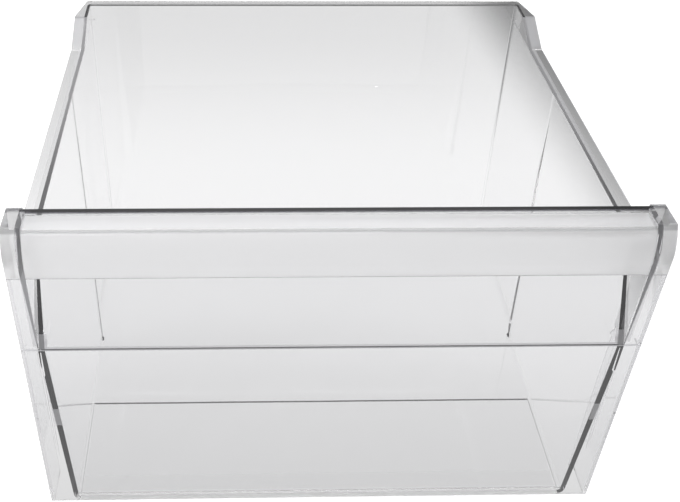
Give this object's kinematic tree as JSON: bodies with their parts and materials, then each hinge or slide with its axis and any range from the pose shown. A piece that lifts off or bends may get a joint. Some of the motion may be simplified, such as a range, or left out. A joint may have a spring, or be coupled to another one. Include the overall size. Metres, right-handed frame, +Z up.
{
  "type": "freezer drawer",
  "caption": "Clear plastic freezer drawer with a full-width finger recess under a frosted grip, flanged side rims and sides that step outwards towards the back.",
  "frame": {"origin": "middle of the bounding box in X and Y, on the flat underside", "axes": "+X across the front to the right, +Y from the front to the back, +Z up"},
  "size_m": [0.458, 0.435, 0.2955],
  "materials": {
    "clear_plastic": "clear gloss, fine moulded texture on the grip and the tops of the front ends"
  },
  "bodies": {
    "root": {"drawer": "clear_plastic"}
  },
  "joints": []
}
